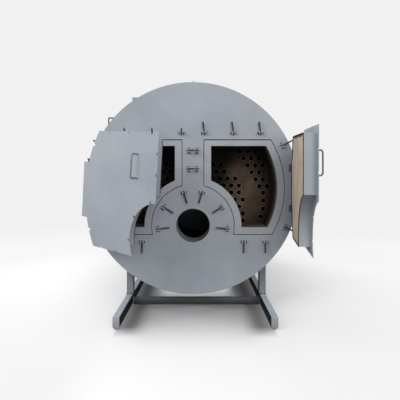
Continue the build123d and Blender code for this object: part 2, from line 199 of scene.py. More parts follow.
# %% [markdown]
# ## The light
# A product photograph like this one has a large soft source overhead, so the drum shades its own
# underside and the floor before it, one far behind the camera to the right, and one from the left for
# the half-open door and the lining. Each door then shades the plate beside it. Two low ones at the
# sides, like windows, reach under the drum over the runners. The world is pale to the eye in the same
# way as the floor, and lights the boiler only faintly.

# %% Lamps and world
LAMPS = {  # place, aim, width (m), power (W)
    "overhead_softbox": ((-0.6, 1.2, 6.6), (-0.6, 1.2, 0.0), 5.5, 216),
    "front_softbox": ((3.4, -11.0, 4.4), (0.0, 0.0, 1.1), 8.0, 728),
    "left_softbox": ((-5.6, -5.2, 4.2), (0.0, -0.3, 1.1), 4.4, 298),
    "left_window": ((-6.4, 2.8, 2.5), (0.0, 0.8, 0.2), 1.6, 172),
    "right_window": ((6.4, 2.8, 2.5), (0.0, 0.8, 0.2), 1.6, 180),
    "rear_softbox": ((-3.0, 9.0, 4.0), (0.0, 2.0, 1.1), 4.0, 240),
}
for name, (place_at, aim, size, power) in LAMPS.items():
    lamp = bpy.data.lights.new(name, "AREA")
    lamp.size = size
    lamp.energy = power
    lamp_object = bpy.data.objects.new(name, lamp)
    lamp_object.location = place_at
    lamp_object.rotation_euler = (Vector(aim) - Vector(place_at)).to_track_quat("-Z", "Y").to_euler()
    scene.collection.objects.link(lamp_object)

world = bpy.data.worlds.new("pale_studio")
scene.world = world
world.use_nodes = True
tree = world.node_tree
room = wire(tree, tree.nodes["Background"], {"Color": "#FFFFFF", "Strength": 0.20})
backdrop = add(tree, "Background", {"Color": "#F1F1F1", "Strength": 1.0})
both = add(tree, "MixShader", {0: seen_directly(tree), 1: room, 2: backdrop})
wire(tree, tree.nodes["World Output"], {"Surface": both})
print("lamps:", len(LAMPS))

# %% [markdown]
# ## Satin enamel on steel plate
# The boiler is sprayed with one blue-grey alkyd enamel. Sprayed paint is not flat: it dries with a
# fine orange peel, a little thicker here than there, and dust settles in faint clouds. We mix two
# close greys with cloudy noise about 0.4 m across, vary the gloss with a finer noise, and press a
# 4 mm orange peel into the bump. The real peel is nearer 2 mm, too fine to show here.

# %% Enamel for plates


def enamel(name, dark, light, gloss=(0.40, 0.54), peel=0.12, shine=0.5):
    """Satin enamel, cloudy between two close shades; returns material, tree, shader, place, colour."""
    material, tree, shader, place = start(name, Specular_IOR_Level=shine)
    clouds = add(tree, "TexNoise", {"Vector": place, "Scale": 1 / 0.40, "Detail": 4.0, "Roughness": 0.55})
    spread = add(tree, "MapRange", {"Value": clouds, "From Min": 0.35, "From Max": 0.65})
    colour = add(tree, "Mix", {0: spread, 6: dark, 7: light})
    haze = add(tree, "TexNoise", {"Vector": place, "Scale": 1 / 0.030, "Detail": 3.0})
    rough = add(tree, "MapRange",
                {"Value": haze, "From Min": 0.3, "From Max": 0.7, "To Min": gloss[0], "To Max": gloss[1]})
    grain = add(tree, "TexNoise", {"Vector": place, "Scale": 1 / 0.004, "Detail": 2.0})
    bump = add(tree, "Bump", {"Height": grain, "Strength": peel, "Distance": 0.0006})
    wire(tree, shader, {"Base Color": colour, "Roughness": rough, "Normal": bump})
    return material, tree, shader, place, colour


PLATE_GREYS = "#8F959E", "#9AA0A9"
plate_enamel, *_ = enamel("satin_grey_enamel", *PLATE_GREYS)
# The doors get a slightly paler copy of the same enamel, painted light.
door_enamel_painted_light, *_ = enamel("satin_grey_enamel_painted_lighter", "#939AA2", "#9EA4AC")
print("enamel:", plate_enamel.name, door_enamel_painted_light.name)

# %% [markdown]
# ## Enamel that has met the ground
# The skid carries a paler copy of the plate's enamel, painted light on the runners, and its lowest
# hand's breadth is scuffed and dusty from the workshop floor. The faces between the runners are painted
# near-black, painted shade from the drum above them. A face between the runners points towards the
# middle, so its normal's X and its place's X have opposite signs, and their product picks it out. The
# cross members are painted dark grey, painted shade under the drum, with a painted highlight along their
# tops. The posts carry a darker copy of the enamel, painted shade from the drum above them.

# %% Enamel for the skid


def facing_of(tree):
    """The X, Y and Z of the way a face points."""
    return add(tree, "SeparateXYZ", {"Vector": add(tree, "NewGeometry").outputs["Normal"]}).outputs


# A paler copy of the plate's enamel: painted light on the runners.
skid_enamel, tree, shader, place, colour = enamel("scuffed_grey_enamel_painted_light_and_shade", "#9CA2AA", "#A8AEB6",
                                                  gloss=(0.6, 0.75), shine=0.15)
spot = add(tree, "SeparateXYZ", {"Vector": place}).outputs
scuff = add(tree, "TexNoise", {"Vector": place, "Scale": 1 / 0.05, "Detail": 6.0, "Roughness": 0.7})
low = add(tree, "MapRange", {"Value": spot["Z"], "From Max": 0.10, "To Min": 0.75, "To Max": 0.0})
worn = add(tree, "Math", {0: low, 1: scuff}, operation="MULTIPLY")
dust_and_painted_shade = add(tree, "Mix", {0: worn, 6: colour, 7: "#5E5C58"})
facing = facing_of(tree)
inward = add(tree, "Math", {0: facing["X"], 1: spot["X"]}, operation="MULTIPLY")
# Faces between the runners: near-black, painted shade.
inward_painted_shade = add(tree, "MapRange", {"Value": inward, "From Min": -0.20, "From Max": -0.45})
wire(tree, shader, {"Base Color": add(tree, "Mix", {0: inward_painted_shade, 6: dust_and_painted_shade, 7: "#101213"})})

# Cross members: the dark grey is painted shade, the lighter top a painted highlight.
cross_member_painted_shade, tree, shader, place, colour = enamel("dark_enamel_painted_shade", "#2A2D30", "#3E4145",
                                             gloss=(0.6, 0.75), shine=0.2)
spot = add(tree, "SeparateXYZ", {"Vector": place}).outputs
painted_top_light = add(tree, "MapRange", {"Value": spot["Z"], "From Min": 0.02, "From Max": 0.068})
mist = add(tree, "TexNoise", {"Vector": place, "Scale": 1 / 0.25, "Detail": 3.0})
top_light_share = add(tree, "Math", {0: painted_top_light, 1: mist}, operation="MULTIPLY")
wire(tree, shader, {"Base Color": add(tree, "Mix", {0: top_light_share, 6: colour, 7: "#6A6E73"})})
# Posts: a darker copy of the enamel, painted shade under the drum.
post_painted_shade_enamel, *_ = enamel("darker_grey_enamel_painted_shade", "#7A7F85", "#868B91", gloss=(0.55, 0.7), shine=0.2)
print("skid:", skid_enamel.name, cross_member_painted_shade.name, post_painted_shade_enamel.name)

# %% [markdown]
# ## Enamel that has met smoke
# The smokebox walls are painted only on the front edge where the door seats. Behind that edge the paint
# has browned in the heat, and deeper in it is black, soot and painted shade in the recess, except on faces
# that point up, such as the sill, which stay brown, painted light from above. So the colour changes with
# the distance behind the front plate, along lines that noise makes uneven. The throat carries a paler
# copy of the enamel, painted light, and near its far end it turns black, soot and painted shade for the
# dark furnace beyond. The furnace's rear cover is painted outside and black within, soot and painted
# shade, so there the way a face points decides.

# %% Enamel for the smokebox walls, the throat and the rear cover


def behind_front(tree, place, first, last, ragged):
    """0 at first metres behind the front plate's face, 1 at last, with an uneven line between."""
    depth = add(tree, "SeparateXYZ", {"Vector": place}).outputs["Y"]
    wobble = add(tree, "TexNoise", {"Vector": place, "Scale": 1 / 0.06, "Detail": 5.0})
    uneven = add(tree, "Math", {0: wobble, 1: ragged, 2: depth}, operation="MULTIPLY_ADD")
    return add(tree, "MapRange", {"Value": uneven, "From Min": FRONT_Y + first + ragged / 2,
                                  "From Max": FRONT_Y + last + ragged / 2})


seat_enamel, tree, shader, place, colour = enamel("browned_enamel", "#91979E", "#9CA2A9")
soot_cloud = add(tree, "TexNoise", {"Vector": place, "Scale": 1 / 0.12, "Detail": 6.0, "Roughness": 0.65})
brown = add(tree, "Mix", {0: soot_cloud, 6: "#57524D", 7: "#7A746E"})
facing = facing_of(tree)
steep = add(tree, "MapRange", {"Value": facing["Z"], "From Min": 0.8, "From Max": 0.5})
# Deeper in: soot and painted shade; faces that point up stay brown, painted light.
deep = add(tree, "Math", {0: behind_front(tree, place, 0.07, 0.16, 0.02), 1: steep}, operation="MULTIPLY")
soot_and_painted_shade = add(tree, "Mix", {0: deep, 6: brown, 7: "#191510"})
inside = behind_front(tree, place, 0.008, 0.022, 0.010)
wire(tree, shader, {"Base Color": add(tree, "Mix", {0: inside, 6: colour, 7: soot_and_painted_shade})})

# A paler copy of the enamel, painted light; black near the far end, soot and painted shade.
throat_enamel, tree, shader, place, colour = enamel("paler_enamel_painted_light_and_shade", "#969CA2", "#A2A8AE", shine=0.15)
inside = behind_front(tree, place, 0.350, 0.368, 0.006)
wire(tree, shader, {"Base Color": add(tree, "Mix", {0: inside, 6: colour, 7: "#040404"})})

# Black on faces turned to the furnace's inside: soot and painted shade.
cover_enamel, tree, shader, place, colour = enamel("enamel_soot_and_painted_shade_within", *PLATE_GREYS, shine=0.1)
facing = facing_of(tree)
within = add(tree, "MapRange", {"Value": facing["Y"], "From Min": -0.3, "From Max": -0.7})
wire(tree, shader, {"Base Color": add(tree, "Mix", {0: within, 6: colour, 7: "#040404"})})
print("browned:", seat_enamel.name, throat_enamel.name, cover_enamel.name)

# %% [markdown]
# ## Scaled steel
# The tube plate is bare boiler steel that has been hot: a thin brown mill scale with rust bloom,
# matte, and a little rough. Patches 160 mm across carry the colour, and a 6 mm grain the bump. The
# corners and top of each tube field are painted near-black, painted shade inside the smokebox, while
# the middle keeps the steel's colour as painted light, less so on the left, where the door shades it.
# The distance from that middle, made uneven with noise, mixes the two. A few centimetres into each tube
# and into the furnace it is almost black, soot and painted shade.

# %% Scaled steel and soot
FIELD_MIDDLE, FIELD_SHARE = (0.525, 0, AXIS_Z - 0.07), (1 / 0.32, 0, 1 / 0.58)


def painted_light_on_tube_field(tree, place):
    """1 in the middle of the right tube field, less in the left one, 0 in the corners round them: painted
    light and shade.
    """
    folded = add(tree, "VectorMath", {0: place}, operation="ABSOLUTE")
    apart = add(tree, "VectorMath", {0: folded, 1: FIELD_MIDDLE}, operation="SUBTRACT")
    shares = add(tree, "VectorMath", {0: apart, 1: FIELD_SHARE}, operation="MULTIPLY")
    reach = add(tree, "VectorMath", {0: shares}, operation="LENGTH")
    clumps = add(tree, "TexNoise", {"Vector": place, "Scale": 1 / 0.14, "Detail": 4.0})
    uneven = add(tree, "Math", {0: clumps, 1: 0.4, 2: reach}, operation="MULTIPLY_ADD")
    painted_lit_share = add(tree, "MapRange", {"Value": uneven, "From Min": 1.15, "From Max": 0.25},
                interpolation_type="SMOOTHSTEP")
    across = add(tree, "SeparateXYZ", {"Vector": place}).outputs["X"]
    share = add(tree, "MapRange",
                {"Value": across, "From Min": -0.05, "From Max": 0.05, "To Min": 0.35, "To Max": 1.0})
    return add(tree, "Math", {0: painted_lit_share, 1: share}, operation="MULTIPLY")


scaled_steel, tree, shader, place = start("scaled_boiler_steel", Specular_IOR_Level=0.1)
patches = add(tree, "TexNoise", {"Vector": place, "Scale": 1 / 0.16, "Detail": 7.0, "Roughness": 0.62})
ramp = add(tree, "ValToRGB", {"Fac": patches})
dark, light = ramp.color_ramp.elements
dark.position, dark.color = 0.30, linear("#55483F")
light.position, light.color = 0.70, linear("#7D6C5F")
ramp.color_ramp.elements.new(0.5).color = linear("#69594E")
inside = behind_front(tree, place, 0.386, 0.430, 0.004)
# Near-black round each tube field and bright in its middle: painted shade and painted light.
scale_and_painted_shade = add(tree, "Mix", {0: painted_light_on_tube_field(tree, place), 6: "#0C0A08", 7: ramp})
sooted = add(tree, "Mix", {0: inside, 6: scale_and_painted_shade, 7: "#040403"})
grit = add(tree, "TexNoise", {"Vector": place, "Scale": 1 / 0.006, "Detail": 4.0})
rough = add(tree, "MapRange", {"Value": patches, "To Min": 0.62, "To Max": 0.9})
bump = add(tree, "Bump", {"Height": grit, "Strength": 0.35, "Distance": 0.001})
wire(tree, shader, {"Base Color": sooted, "Roughness": rough, "Normal": bump})

tube_steel, tree, shader, place = start("rolled_tube_ends", Specular_IOR_Level=0.25)
patches = add(tree, "TexNoise", {"Vector": place, "Scale": 1 / 0.03, "Detail": 5.0})
tint = add(tree, "Mix", {0: patches, 6: "#7A695E", 7: "#B09D8C"})
inside = behind_front(tree, place, 0.380, 0.392, 0.003)
# The tube ends get the same painted shade and painted light as the plate round them.
scale_and_painted_shade = add(tree, "Mix", {0: painted_light_on_tube_field(tree, place), 6: "#1E1A17", 7: tint})
sooted = add(tree, "Mix", {0: inside, 6: scale_and_painted_shade, 7: "#0A0908"})
rough = add(tree, "MapRange", {"Value": patches, "To Min": 0.5, "To Max": 0.8})
wire(tree, shader, {"Base Color": sooted, "Roughness": rough})
print("scale:", scaled_steel.name, tube_steel.name)

# %% [markdown]
# ## Oiled black steel, zinc and round bar
# Swing bolts and hinge pins are black steel, oiled so that they turn. Screws and small bolts are zinc
# plated. Handles are round bar in a darker, glossier enamel than the doors. Metals keep Blender's
# default IOR, and their character comes from roughness. The lugs' pins are blackened in a hot oxide
# bath, which leaves a dull skin that no longer mirrors as bare metal does, and their near-black is also
# painted shade under each lug. The lugs' ears get a paler, glossier copy of the enamel, a painted
# highlight on their crowns.

# %% Metals


def metal(name, dark, light, rough_from, rough_to, grain):
    """A metal whose shade and roughness vary with grains of the given size in metres."""
    material, tree, shader, place = start(name, Metallic=1.0)
    spots = add(tree, "TexNoise", {"Vector": place, "Scale": 1 / grain, "Detail": 5.0, "Roughness": 0.6})
    tint = add(tree, "Mix", {0: spots, 6: dark, 7: light})
    rough = add(tree, "MapRange", {"Value": spots, "To Min": rough_from, "To Max": rough_to})
    wire(tree, shader, {"Base Color": tint, "Roughness": rough})
    return material


black_steel = metal("oiled_black_steel", "#2E2F31", "#55575A", 0.35, 0.6, 0.012)
zinc = metal("zinc_plated_steel", "#83878C", "#A9ADB2", 0.3, 0.5, 0.008)
FINE = 0.05  # orange peel on small pieces, which get thinner coats
# Darker and glossier than the doors' enamel.
bar_enamel, *_ = enamel("darker_enamel_on_bar", "#666C73", "#7C8289", (0.28, 0.42), FINE)
bolt_enamel, *_ = enamel("oversprayed_bolt_steel", "#454A51", "#5A5F66", (0.34, 0.50), FINE, 0.25)
# Near-black pins: black oxide, and painted shade under each lug.
black_oxide_and_painted_shade, *_ = enamel("black_oxide_and_painted_shade_on_pins", "#141618", "#202224", (0.45, 0.6), FINE, 0.1)
# Paler enamel on the ears: a painted highlight.
ear_painted_highlight, *_ = enamel("paler_enamel_painted_highlight", "#A8ADB3", "#BEC2C7", (0.25, 0.38), FINE)
small_finishes = black_steel, zinc, bar_enamel, bolt_enamel, black_oxide_and_painted_shade, ear_painted_highlight
print("small pieces:", [finish.name for finish in small_finishes])

# %% [markdown]
# ## Ceramic-fibre board
# The doors are lined with beige insulation board. It is felted from short fibres, so up close it is
# soft, uneven and slightly furry, and the smoke has tinted it in patches. Long thin noise, stretched
# ten to one, stands for the fibres, and a wider noise for the tint. Along its top edge a painted shadow
# darkens it, where the box's top wall shades it, and the mesh carries how much at each point, in an
# attribute. The seal round it is graphite rope.

# %% Insulation board
board, tree, shader, place = start("ceramic_fibre_board", Roughness=0.95, Specular_IOR_Level=0.15)
tint = add(tree, "TexNoise", {"Vector": place, "Scale": 1 / 0.18, "Detail": 6.0, "Roughness": 0.6})
ramp = add(tree, "ValToRGB", {"Fac": tint})
dark, light = ramp.color_ramp.elements
dark.position, dark.color = 0.28, linear("#B5A48F")
light.position, light.color = 0.68, linear("#E0D0BA")
stretch = add(tree, "Mapping", {"Vector": place, "Scale": (1.0, 1.0, 0.1)})
fibres = add(tree, "TexNoise", {"Vector": stretch, "Scale": 1 / 0.005, "Detail": 5.0})
shade = add(tree, "Mix", {0: fibres, 6: "#C3B29C", 7: ramp})
painted_shadow = add(tree, "Attribute", attribute_name="painted_shadow").outputs["Fac"]
painted_shadowed = add(tree, "Mix", {0: painted_shadow, 6: shade, 7: "#1D1A16"})
bump = add(tree, "Bump", {"Height": fibres, "Strength": 0.5, "Distance": 0.002})
wire(tree, shader, {"Base Color": painted_shadowed, "Normal": bump})
rope, *_ = enamel("graphite_rope", "#232220", "#37342F", (0.7, 0.85), 0.6)
print("lining:", board.name, rope.name)

# %% [markdown]
# ## Dress the CAD pieces
# Most plates are right as they are, and only need their finish. Each node gets the material of the
# real piece, found by how its name ends. The runners are rolled tube, so their edges are rounded and
# catch a line of light.

# %% Give each CAD node its finish
FINISHES = {
    "burner_throat": throat_enamel, "pressure_vessel": scaled_steel, "rear_cover": cover_enamel,
    "runner": skid_enamel, "post": post_painted_shade_enamel, "cross_member": cross_member_painted_shade, "smokebox_wall": seat_enamel,
    "door_plate": door_enamel_painted_light, "door_hinge": door_enamel_painted_light, "door_handle": bar_enamel, "door_lining": board,
    # The fixed hinge takes the dark bolt enamel, painted shade round the hinge knuckle.
    "fixed_hinge": bolt_enamel, "swing_bolts": black_steel, "hinge_pin": black_steel,
}
for name, node in nodes.items():
    node.data.materials.clear()
    node.data.materials.append(next((FINISHES[end] for end in FINISHES if name.endswith(end)), plate_enamel))
for name in ("left_runner", "right_runner"):
    weld = nodes[name].modifiers.new("shared_corners", "WELD")
    weld.merge_threshold = 1e-5
    edge = nodes[name].modifiers.new("rolled_edges", "BEVEL")
    edge.width = 0.006
    edge.segments = 3
    edge.angle_limit = radians(25)
print("dressed:", len(nodes))

# %% [markdown]
# ## Helpers for small pieces
# The details that follow are swept bars, turned rings and weld beads. Each helper returns points and
# faces as plain lists, so that many small things can be placed with a matrix and joined into one mesh:
# one object for all the tube ends is lighter than seventy.

# %% Mesh helpers


def skinned(rows, closed=False):
    """Faces between each row of point numbers and the next; a point met twice counts once."""
    faces = []
    for low, high in zip(rows, rows[1:] + rows[:1] if closed else rows[1:]):
        for i in range(len(low)):
            j = (i + 1) % len(low)
            face = list(dict.fromkeys([low[i], low[j], high[j], high[i]]))
            if len(face) > 2:
                faces.append(face)
    return faces


def turned(profile, sides, closed=False):
    """A profile of (radius, height) points turned round Z. A closed profile makes a ring."""
    points, rows = [], []
    for radius, height in profile:
        if radius == 0:
            rows.append([len(points)] * sides)
            points.append((0, 0, height))
        else:
            rows.append(list(range(len(points), len(points) + sides)))
            points += [(radius * cos(a), radius * sin(a), height) for a in turns_of(sides)]
    return np.array(points, float), skinned(rows, closed)


def swept(path, radius, sides=8, closed=False):
    """A tube along a path; radius is one number or one for each point. Open tubes get flat ends."""
    path = np.array(path, float)
    count = len(path)
    radii = np.full(count, radius) if np.isscalar(radius) else np.asarray(radius, float)
    ahead = np.roll(path, -1, 0) - np.roll(path, 1, 0)
    if not closed:
        ahead[0], ahead[-1] = path[1] - path[0], path[-1] - path[-2]
    ahead /= np.linalg.norm(ahead, axis=1)[:, None]
    side = np.cross(ahead[0], (0.13, 0.29, 0.95))
    side /= np.linalg.norm(side)
    points = []
    for i in range(count):
        side = side - ahead[i] * np.dot(side, ahead[i])
        side /= np.linalg.norm(side)
        other = np.cross(ahead[i], side)
        for a in turns_of(sides):
            points.append(path[i] + radii[i] * (side * cos(a) + other * sin(a)))
    rows = [list(range(i * sides, (i + 1) * sides)) for i in range(count)]
    ends = [] if closed else [rows[0][::-1], rows[-1]]
    return np.array(points), skinned(rows, closed) + ends


def moved(part, matrix):
    """A part placed by a matrix or a plain shift; a mirroring matrix also turns its faces over."""
    points, faces = part
    if isinstance(matrix, tuple):
        matrix = Matrix.Translation(matrix)
    turn = np.array(matrix.to_3x3())
    placed = points @ turn.T + np.array(matrix.translation)
    if np.linalg.det(turn) < 0:
        faces = [face[::-1] for face in faces]
    return placed, faces


def joined(parts):
    """Several parts as one."""
    points, faces, start_at = [], [], 0
    for part_points, part_faces in parts:
        points.append(part_points)
        faces += [[i + start_at for i in face] for face in part_faces]
        start_at += len(part_points)
    return np.concatenate(points), faces


def piece(name, part, material, body="boiler", stands_for=(), crease=38.0):
    """Makes an object from a part, smooth except at creases, and lets it ride on a body."""
    points, faces = part
    mesh = bpy.data.meshes.new(name)
    mesh.from_pydata(points.tolist(), [], faces)
    tidy = bmesh.new()
    tidy.from_mesh(mesh)
    bmesh.ops.recalc_face_normals(tidy, faces=tidy.faces)
    tidy.to_mesh(mesh)
    tidy.free()
    mesh.polygons.foreach_set("use_smooth", [True] * len(mesh.polygons))
    mesh.set_sharp_from_angle(angle=radians(crease))
    mesh.materials.append(material)
    made = bpy.data.objects.new(name, mesh)
    scene.collection.objects.link(made)
    if stands_for:
        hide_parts(*stands_for)
    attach(made, body)
    print(f"{name}: {len(faces)} faces")
    return made


def frame_at(origin, x_axis, z_axis):
    """A matrix whose X and Z point the given ways from origin."""
    x_axis, z_axis = Vector(x_axis).normalized(), Vector(z_axis).normalized()
    y_axis = z_axis.cross(x_axis)
    matrix = Matrix((x_axis, y_axis, z_axis)).transposed().to_4x4()
    matrix.translation = origin
    return matrix


def forward_at(*origin):
    """A frame whose Z points forward, out of the front plate."""
    return frame_at(origin, (1, 0, 0), (0, -1, 0))


SIDES = {"right": Matrix.Identity(4), "left": Matrix.Scale(-1, 4, (1, 0, 0))}
chance = random.Random(7)


def even(path, step, least=4, to_end=True):
    """The same path in even steps, with or without its last point."""
    path = np.array(path, float)
    along = np.concatenate([[0], np.cumsum(np.linalg.norm(np.diff(path, axis=0), axis=1))])
    at = np.linspace(0, along[-1], max(least, round(along[-1] / step)), endpoint=to_end)
    return np.stack([np.interp(at, along, column) for column in path.T], axis=1)


def bead(path, radius, step=0.003, ripple=0.009, closed=True):
    """A weld bead: a tube half sunk in its seam that swells with each ripple of the weld pool."""
    path = even([*path, path[0]] if closed else path, step, to_end=not closed)
    swell = [0.92 + 0.12 * sin(i * step / ripple * 2 * pi) + chance.uniform(-0.05, 0.05)
             for i in range(len(path))]
    return swept(path, radius * np.array(swell), 7, closed)


def hex_head(radius, height):
    """A hexagon head with a chamfered crown on a round washer, standing on Z = 0."""
    wide = 1.3 * radius
    washer = [(0, 0), (wide, 0), (wide, 0.0018), (1.25 * radius, 0.0025), (0, 0.0025)]
    head = [(0, 0.002), (radius, 0.002), (radius, 0.86 * height), (0.88 * radius, height), (0, height)]
    return joined([turned(washer, 24), turned(head, 6)])


def block(low, high, cut):
    """A box from corner to corner with its edges cut, as rolled or sheared plate has."""
    box = bmesh.new()
    bmesh.ops.create_cube(box, size=1.0)
    for vertex in box.verts:
        vertex.co = [low[i] + (vertex.co[i] + 0.5) * (high[i] - low[i]) for i in range(3)]
    bmesh.ops.bevel(box, geom=box.edges[:], offset=cut, segments=2, affect="EDGES", profile=0.5)
    box.verts.index_update()
    made = np.array([tuple(v.co) for v in box.verts]), [[v.index for v in f.verts] for f in box.faces]
    box.free()
    return made


small_ring = [(0.05, 0, 0), (0, 0.05, 0), (-0.05, 0, 0), (0, -0.05, 0)]
print("weld bead of a 0.1 m ring:", len(bead(small_ring, 0.004)[1]))

# %% [markdown]
# ## The line of an opening
# Both smokebox openings, the door flanges, the boxes and the linings follow one outline: an upright
# side by the middle, level top and bottom, an arc near the plate's rim and an arc round the burner.
# This function walks along it in even steps, at any margin, so seams and weld beads can follow it. The
# doors' outlines end a little higher than the openings', which is what lift is for.

# %% Outline of an opening, and the doors' places
INNER_X, TOP, BOTTOM, OUTER_R, ARC_R, BURNER_DROP = 0.100, 0.458, 0.441, 0.868, 0.387, 0.354
STANDOFF, DOOR_PLATE = 0.107, 0.006
PIN_X, PIN_AHEAD = 0.955, 0.048
DOORS = {"right": (1.5, 1.1, 85.3), "left": (5.7, 2.0, 40.1)}  # lean, tilt, opening (degrees)


def outline(margin, step, lift=0.0):
    """Even points (x, z) round the right-hand opening, grown outward by margin; z is from the axis."""
    x_in, top, bottom = INNER_X - margin, TOP + margin, lift - BOTTOM - margin
    rim, arc = OUTER_R + margin, ARC_R - margin
    runs = [[(x_in, -BURNER_DROP + sqrt(arc ** 2 - x_in ** 2)), (x_in, top)],
            [(x_in, top), (sqrt(rim ** 2 - top ** 2), top)]]
    angles = np.linspace(asin(top / rim), asin(bottom / rim), 60)
    runs.append([(rim * cos(a), rim * sin(a)) for a in angles])
    low_x = sqrt(arc ** 2 - (bottom + BURNER_DROP) ** 2)
    runs.append([(sqrt(rim ** 2 - bottom ** 2), bottom), (low_x, bottom)])
    angles = np.linspace(atan2(bottom + BURNER_DROP, low_x), acos(x_in / arc), 60)
    runs.append([(arc * cos(a), arc * sin(a) - BURNER_DROP) for a in angles])
    points = []
    for run in runs:
        points += [tuple(point) for point in even(run, step, 2, False)]
    return points


def hinge_line(side):
    """The right-hand pin line's middle and direction, leaning forward and outward."""
    lean, tilt, _ = (radians(a) for a in DOORS[side])
    along = Vector((sin(tilt), -sin(lean) * cos(tilt), cos(lean) * cos(tilt)))
    return Vector((PIN_X, FRONT_Y - PIN_AHEAD, AXIS_Z)), along


def door_turn(side):
    """Takes points of a shut right-hand door to where this side's door stands."""
    middle, along = hinge_line(side)
    swing = Matrix.Rotation(radians(DOORS[side][2]), 4, along)
    return SIDES[side] @ Matrix.Translation(middle) @ swing @ Matrix.Translation(-middle)


print("points round the seat:", len(outline(0, 0.02)))

# %% [markdown]
# ## Tube ends
# Each fire tube is 51 mm across and 2.5 mm thick. It is pushed through the tube plate, rolled tight,
# and welded round, so it stands a few millimetres proud with a soft lip and a weld toe. One turned
# ring, copied to every place, makes them all.

# %% Fire-tube ends
TUBE_FACE_Y = FRONT_Y + 0.380
PITCH, ROW = 0.078, 0.0714
OUTER_ROWS = [(0.473, 3), (0.513, 3), (0.553, 3), (0.593, 2), (0.633, 2), (0.673, 2)]
INNER_ROWS = [(0.202, 2), (0.236, 2), (0.270, 3), (0.308, 3), (0.386, 2), (0.426, 2),
              (0.466, 1), (0.504, 1), (0.504, 1)]
tube_spots = [(0.712, -0.056), (0.712, -0.137), (0.712, -0.219), (0.688, -0.300)]
for rows, top_row in ((OUTER_ROWS, 0.367), (INNER_ROWS, 0.232)):
    for number, (first, count) in enumerate(rows):
        tube_spots += [(first + k * PITCH, top_row - number * ROW) for k in range(count)]
lip = [(0.0224, -0.030), (0.0224, 0.0042), (0.0231, 0.0058), (0.0248, 0.0062), (0.0256, 0.0050),
       (0.0262, 0.0030), (0.0282, 0.0026), (0.0298, 0.0012), (0.0304, -0.001), (0.0236, -0.001),
       (0.0236, -0.030)]
tube_end = turned(lip, 24, closed=True)
ends = []
for x, z in tube_spots:
    for side in (1, -1):
        spin = Matrix.Rotation(chance.uniform(0, 6), 4, "Z")
        grow = Matrix.Scale(chance.uniform(0.7, 1.15), 4, (0, 0, 1))
        stand = forward_at(side * x, TUBE_FACE_Y, AXIS_Z + z)
        ends.append(moved(tube_end, stand @ spin @ grow))
piece("fire_tube_ends", joined(ends), tube_steel)

# %% [markdown]
# ## Swing bolts and their lugs
# A swing bolt is an eye on a pin with a threaded rod. The thread matters up close: a turned saw-tooth
# profile gives the M16 rod its 2 mm pitch without a true helix. The whole front was sprayed with bolts
# and lugs in place, so the rods are painted too.

# %% Swing bolts
INSET, PIN_UP, FLAT = 0.062, 0.024, 4.0
FOLDS = {"right": (FLAT, 88.0), "left": (72.0, 62.0)}  # of the top and the column bolts (degrees)
THREADS, THREAD_PITCH = 34, 0.002


def bolt_spots(top_fold, column_fold):
    """Place, direction and fold of each swing bolt of the right-hand door."""
    spots = [(x, TOP + INSET, 98.0, top_fold) for x in (0.108, 0.381, 0.636)]
    spots += [(INNER_X - INSET, z, 180.0, column_fold) for z in (0.353, 0.181)]
    for radius, drop, way, angles in ((ARC_R - INSET, BURNER_DROP, 180.0, (75.0, 33.0, -4.7)),
                                      (OUTER_R + INSET, 0.0, 0.0, (25.6, -23.1))):
        for angle in angles:
            turn = radians(angle)
            spots.append((radius * cos(turn), radius * sin(turn) - drop, angle + way, FLAT))
    return spots + [(x, -BOTTOM - INSET, 270.0, FLAT) for x in (0.477, 0.680)]


def bolt_place(x, z, direction):
    """A frame on the front plate: X the way the bolt swings, Z forward."""
    turn = radians(direction)
    return frame_at((x, FRONT_Y, AXIS_Z + z), (cos(turn), 0, sin(turn)), (0, -1, 0))


eye_line = [(0.0063, -0.0090), (0.0142, -0.0090), (0.0160, -0.0072), (0.0160, 0.0072), (0.0142, 0.0090),
            (0.0063, 0.0090)]
eye = moved(turned(eye_line, 28, closed=True), Matrix.Rotation(pi / 2, 4, "X"))
rod_profile = [(0, 0.012), (0.0076, 0.012), (0.0080, 0.034)]
for number in range(THREADS):
    rod_profile += [(0.0067, 0.0355 + number * THREAD_PITCH), (0.0080, 0.0365 + number * THREAD_PITCH)]
rod_profile += [(0.0066, 0.1040), (0.0058, 0.106), (0, 0.106)]
rod = moved(turned(rod_profile, 14), Matrix.Rotation(pi / 2, 4, "Y"))
swing_bolt = joined([eye, rod])
for side, over in SIDES.items():
    bolts = []
    for x, z, direction, fold in bolt_spots(*FOLDS[side]):
        raise_up = Matrix.Translation((0, 0, PIN_UP)) @ Matrix.Rotation(-radians(fold), 4, "Y")
        bolts.append(moved(swing_bolt, over @ bolt_place(x, z, direction) @ raise_up))
    piece(f"{side}_eye_bolts", joined(bolts), bolt_enamel, stands_for=[f"{side}_swing_bolts"], crease=30)

# %% [markdown]
# ## Lugs
# Each eye sits between two flame-cut ears with rounded crowns, welded to the plate, and the pin between
# them is a hexagon bolt with a nut. An ear is one outline in four layers, the outer two drawn in a
# little, so its edges are dressed as a grinder leaves them. One lug is copied to every place.

